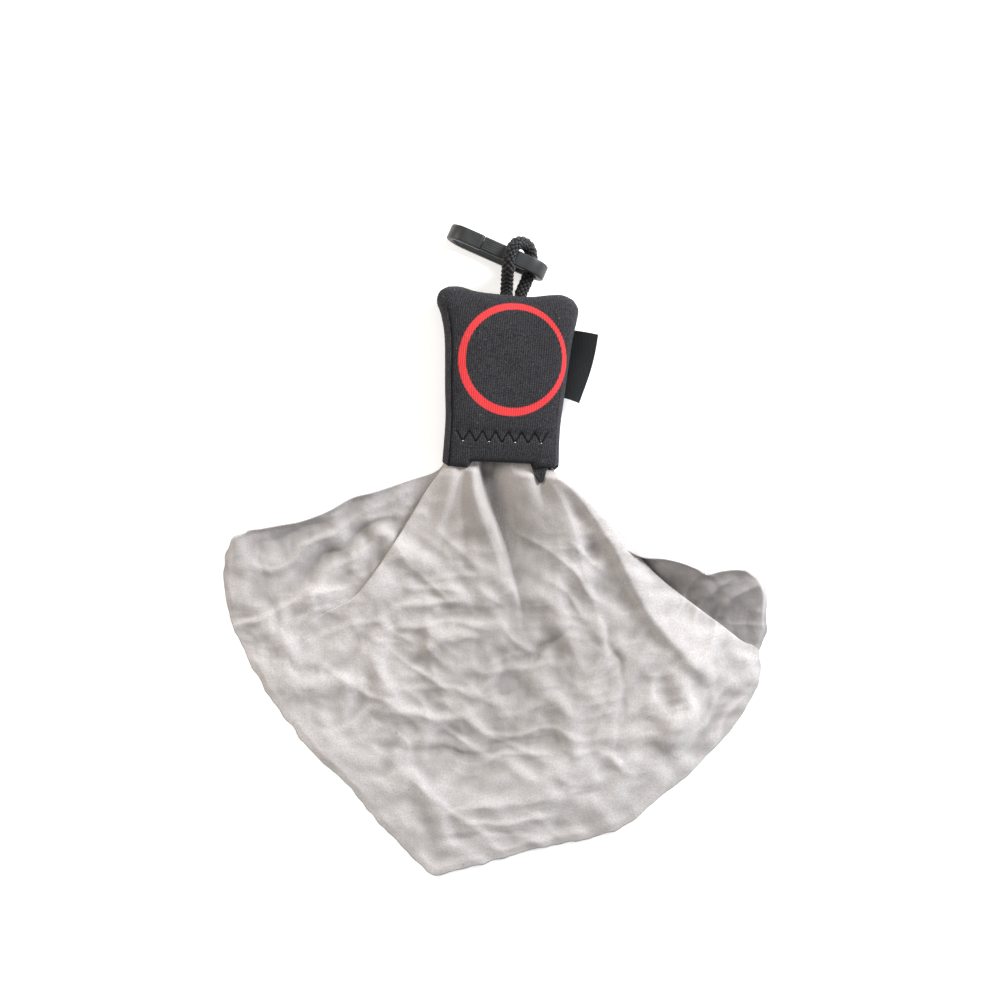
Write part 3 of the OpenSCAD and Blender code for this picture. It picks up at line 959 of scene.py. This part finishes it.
def crumple_height(x, y):
    """The settled sheet's crumples, smaller turned copies of them, and creases that differ by region."""
    field, low, step = crumple_field()
    field = field - field.mean()
    high = (low[0] + (field.shape[1] - 1) * step, low[1] + (field.shape[0] - 1) * step)
    total = 0.46 * sample_grid(field, low, step, x, y)
    margin = 18
    for turn, scale, height in ((68, 1.7, 0.12), (-35, 2.7, 0.04)):
        u, v = (scale * w for w in turned(x, y, turn))
        folded = []
        for value, a, b in ((u, low[0] + margin, high[0] - margin), (v, low[1] + margin, high[1] - margin)):
            phase = np.mod((value - a) / (b - a), 2)
            folded.append(a + (b - a) * np.minimum(phase, 2 - phase))
        total += height * sample_grid(field, low, step, *folded)
    bend = Noise(SEED + 50)
    u, v = x + 3.0 * bend(x / 13, y / 13), y + 3.0 * bend(x / 13 + 40, y / 13)
    left, right = smoothstep(-18, -52, x), smoothstep(30, 60, x)
    centre = (1 - left) * (1 - right)
    for turn, length, width, height, share in (
            (29, 32, 8, 1.1, left), (6, 30, 8, 1.2, centre), (-32, 22, 8, 0.8, centre),
            (60, 28, 8, 1.1, right), (45, 20, 7, 0.5, 1), (12, 11, 4, 0.28, 1)):
        along, side = turned(u, v, -turn)
        crease = bend(along / length + 7 * turn, side / width)
        total += share * height * (0.3 - np.sqrt(crease ** 2 + 0.003))
    return total * (0.72 + 0.28 * smoothstep(-150, -120, y)) + 0.9


# Folds that run out of the mouth: middle line, width on its left and right, power of its fading, and height:
# in mm for a ridge, a share of the cloth's own height (below 0) for a valley
MOUTH_FOLDS = [
    ([(-9.5, -31), (-9, -42), (-4, -55), (2, -67), (8, -82)], 3.4, 2.0, 0.8, 1.0),
    ([(-13, -34), (-12.4, -49), (-10.6, -64), (-10, -78)], 2.4, 2.6, 0.8, -0.16),
    ([(-16, -34), (-18, -48), (-24, -66), (-34, -86)], 3.0, 3.0, 0.8, 1.3),
    ([(-14, -36), (-17, -54), (-22, -72), (-30, -94)], 2.2, 2.2, 0.8, -0.14),
    ([(11, -32), (23, -44), (33.8, -68.6), (41, -87), (47, -106)], 6.0, 3.0, 0.8, 2.0),
    ([(18, -33), (27.9, -41), (39.7, -54.5), (47.9, -66), (56.8, -79), (63.8, -87), (72, -95), (84, -106)],
     3.4, 8.5, 0.5, 4.2),
    ([(-6, -29), (-6, -36), (-4.2, -43), (1.2, -55), (6.4, -66), (11.5, -80), (15, -94)],
     1.5, 11.0, 0.7, -0.85),
    ([(14.5, -29), (15, -37), (18, -50)], 2.6, 4.0, 1.3, -0.40),
]
# Folds away from the mouth, first those of the left lobe: middle line, width on its left and right, and
# height in mm, below 0 for a valley
LONG_FOLDS = [
    ([(-24, -42), (-40, -51), (-58, -62), (-76, -73), (-90, -79)], 2.2, 3.2, 2.0),
    ([(-27, -48), (-42, -59), (-58, -71), (-74, -85)], 1.8, 2.2, -1.5),
    ([(-32, -55), (-46, -68), (-60, -80), (-72, -93)], 2.2, 3.2, 2.0),
    ([(-60, -57), (-76, -65), (-90, -73)], 1.6, 2.2, -1.2),
    ([(-52, -84), (-66, -86), (-80, -92)], 5.0, 5.0, 2.2),
    ([(-24, -84), (-19, -104), (-10, -124), (3, -144)], 4.0, 7.0, 3.0),
    ([(-44, -100), (-36, -116), (-26, -132)], 5.0, 5.0, 2.0),
    ([(30, -80), (24, -96), (14, -110), (4, -122)], 3.0, 1.6, -1.6),
    ([(84, -84), (78, -102), (72, -122), (62, -142)], 13.0, 5.0, 4.2),
    ([(44, -84), (48, -102), (52, -120), (50, -138)], 1.6, 2.6, -1.6),
    ([(-40, -98), (-22, -101), (-4, -98), (14, -104)], 2.0, 2.0, 1.0),
    ([(-64, -112), (-46, -118), (-30, -128), (-20, -142)], 2.4, 3.4, 1.4),
    ([(-44, -138), (-24, -141), (0, -138), (20, -132)], 1.8, 1.8, -1.0),
    ([(-26, -158), (-4, -160), (18, -155), (44, -150)], 3.6, 3.6, 1.9),
    ([(20, -141), (40, -136), (60, -141), (74, -134)], 2.0, 2.0, 1.1),
    ([(-12, -172), (8, -168), (26, -166)], 2.4, 2.4, -0.9),
]


def cloth_height(x, y, crumple):
    """Height of the cloth over the table, before its layers are stacked."""
    r = np.hypot(x * 0.80, y + 31)
    z = 0.7 + 9.2 * np.exp(-(r / 30) ** 1.25)
    away = smoothstep(4, 46, r)
    z += crumple * (0.12 + 0.88 * away)
    z += 2.2 * np.exp(-(np.hypot(x / 20, (y + 40) / 16)) ** 4)
    wander = Noise(SEED + 40)
    sway_x, sway_y = (2.6 * wander(x / 15 + a, y / 15) + 0.9 * wander(x / 5 + b, y / 5)
                      for a, b in ((0, 30), (60, 90)))
    uneven = 0.75 + 0.5 * wander(x / 9 + 120, y / 9)
    for points, left, right, power, depth in MOUTH_FOLDS:
        off, share = line_profile(x + 0.3 * sway_x * away, y + 0.3 * sway_y * away, points)
        width = np.where(off > 0, right, left) * (1.15 - 0.35 * share)
        shape = np.exp(-np.abs(off / width) ** 1.6) * (1 - share ** 2) ** power
        z = z + depth * shape if depth > 0 else z * (1 + depth * shape)
    for points, left, right, depth in LONG_FOLDS:
        off, share = line_profile(x + sway_x, y + sway_y, points)
        width = np.where(off > 0, right, left)
        z += uneven * depth * np.exp(-np.abs(off / width) ** 1.4) * np.sin(np.pi * share) ** 1.1
    wave = Noise(SEED + 14)
    z += 0.6 * wave(x / 23, y / 21) * away
    return np.maximum(z, 0.3)


def make_cloth_grid():
    """Middle of the cloth as a grid of places in mm, one row from the mouth outward for each step of t."""
    rows, columns = ((260, 400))
    s = np.linspace(0, 1, columns)
    t = np.linspace(0, 1, rows) ** 0.9
    knots = [0, 0.20, 0.25, 0.76, 0.81, 1]
    shares = np.zeros((rows, columns))
    for i, ti in enumerate(t):
        left = 0.085 * (1 - smoothstep(0.35, 0.80, ti)) - 0.006
        right = 0.080 * (1 - smoothstep(0.75, 1.0, ti)) - 0.006
        shares[i] = np.interp(s, knots, [0, LEFT_FOLD + left, LEFT_FOLD, RIGHT_FOLD, RIGHT_FOLD - right, 1])
    shares = blur(shares, 1, columns * 0.0045)
    shares[:, 0], shares[:, -1] = 0, 1
    down = np.repeat(t[:, None], columns, 1)
    place = fan_place(shares, down)
    x, y = place[..., 0], place[..., 1]
    ragged = Noise(SEED + 30)
    fray = 0.45 * down ** 20
    x, y = x + fray * ragged(x / 3.4, y / 3.4), y + fray * ragged(x / 3.4 + 20, y / 3.4)
    z = cloth_height(x, y, crumple_height(x, y))
    top = smoothstep(0.205, 0.262, s) * (1 - smoothstep(0.745, 0.805, s))
    middle = smoothstep(0.32, 0.70, s)
    stay = (1 - smoothstep(0.40, 0.74, down)) * (1 - middle) + (1 - smoothstep(0.85, 1.0, down)) * middle
    z += 2.6 * top[None] * stay * (1 - 0.35 * smoothstep(0.1, 0, down))
    wing = np.clip((shares - RIGHT_FOLD) / (1 - RIGHT_FOLD), 0, 1) * (s > 0.79)
    z += 7.5 * wing ** 1.1 * smoothstep(0.35, 0.75, down)
    curl = np.clip(1 - shares / LEFT_FOLD, 0, 1) * (s < 0.22)
    z += 3.2 * curl ** 5 * smoothstep(0.15, 0.5, down)
    edge = np.minimum(1, (1 - down) / 0.02)
    z = 0.3 + (z - 0.3) * (0.55 + 0.45 * edge)
    return np.dstack([x, y, z])


def tuck_into_mouth(grid):
    """Presses the part of the cloth near the pouch into the gap between the two hems."""
    y, z = grid[..., 1], grid[..., 2]
    inside = smoothstep(-36.6, -33.8, y)
    grid[..., 2] = z * (1 - inside) + np.clip(z, 5.1, 9.4) * inside
    return grid


def store_shade(obj, name, values):
    """Gives both sides of a slab a number per place, which its material reads."""
    attribute = obj.data.attributes.new(name, "FLOAT", "POINT")
    attribute.data.foreach_set("value", np.concatenate([values, values]).ravel().astype(np.float32))


def make_cloth(material):
    """The cloth as one closed sheet, from inside the pouch to its free edge."""
    grid = tuck_into_mouth(make_cloth_grid())
    neck = []
    for y, spread in ((-14, 0.30), (-19, 0.50), (-24, 0.75), (-28, 0.93)):
        ring = grid[0].copy()
        ring[:, 0] *= spread
        ring[:, 1] = y
        ring[:, 2] = 5.0 + (ring[:, 2] - 5.0) * 0.8
        neck.append(ring)
    grid = np.concatenate([np.array(neck), grid])
    points = grid * MM
    normal = np.cross(np.gradient(points, axis=0), np.gradient(points, axis=1))
    normal /= np.linalg.norm(normal, axis=2)[..., None] + 1e-12
    normal *= np.where(np.median(normal[..., 2]) < 0, -1, 1)
    half = 0.5 * CLOTH_T * MM
    upper, lower = points + normal * half, points - normal * half
    upper[..., 2] = np.maximum(upper[..., 2], 0.3 * MM)
    lower[..., 2] = np.maximum(lower[..., 2], 0.02 * MM)
    cloth = closed_slab("cleaning_cloth", upper, lower, material)
    # Painted shade of the folded-back right wing and, weaker, of the left lobe's curled edge
    s = np.linspace(0, 1, grid.shape[1])
    painted_fold_shade = smoothstep(0.80, 0.83, s) + 0.6 * smoothstep(0.16, 0.02, s)
    store_shade(cloth, "painted_fold_shade", np.repeat(painted_fold_shade[None], grid.shape[0], 0))
    # Painted shade for the hollows: how far each place lies below its blurred surroundings, broadly and
    # finely
    z = grid[..., 2]
    broad = blur(blur(z, 0, z.shape[0] * 0.055), 1, z.shape[1] * 0.13) - z
    fine = blur(blur(z, 0, z.shape[0] * 0.014), 1, z.shape[1] * 0.012) - z
    hollow_shade = 0.95 * np.clip(broad / 3.4, 0, 1) + 0.25 * np.clip(fine / 0.45, -0.6, 1)
    store_shade(cloth, "hollow_shade", hollow_shade)
    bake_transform(cloth)
    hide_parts("cloth_sheet", "cloth_gather")


# ---- assembly

THREAD_NODES = ("left_seam_thread", "right_seam_thread", "top_seam_thread", "back_hem_zigzag",
                "cord_bartack", "cloth_bartack")


def dress_cad_nodes(thread, cord):
    """Gives the CAD nodes that still show the materials of the drawn pieces."""
    for name in (*THREAD_NODES, "cord_tails"):
        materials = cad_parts[name].data.materials
        materials.clear()
        materials.append(thread if name in THREAD_NODES else cord)


def main():
    make_camera()
    cord = cord_material()
    thread = thread_material("dark_thread", (0.0008, 0.0008, 0.0009), (0.004, 0.004, 0.0044))
    pale = thread_material("pale_thread", (0.45, 0.45, 0.46), (0.8, 0.8, 0.8))
    make_cord(cord)
    make_stage()
    front = neoprene_material("front_neoprene", (0.026, 0.025, 0.028), RING)
    back = neoprene_material("back_neoprene", (0.020, 0.020, 0.022))
    front_panel = make_panel("front_padding", FRONT_MOUTH_Y, True, front, "front_panel", "printed_ring")
    back_panel = make_panel("back_padding", FRONT_MOUTH_Y - BACK_LIP, False, back, "back_panel")
    bpy.context.view_layer.update()
    make_front_zigzag(thread, pale)
    make_label(label_material())
    make_clip(plastic_material())
    make_cloth(cloth_material())
    bpy.context.view_layer.update()
    # dark flap: back hem corner and painted shade in the fold at the mouth's right
    make_hem_corner_and_shade(back)
    dress_cad_nodes(thread, cord)


main()
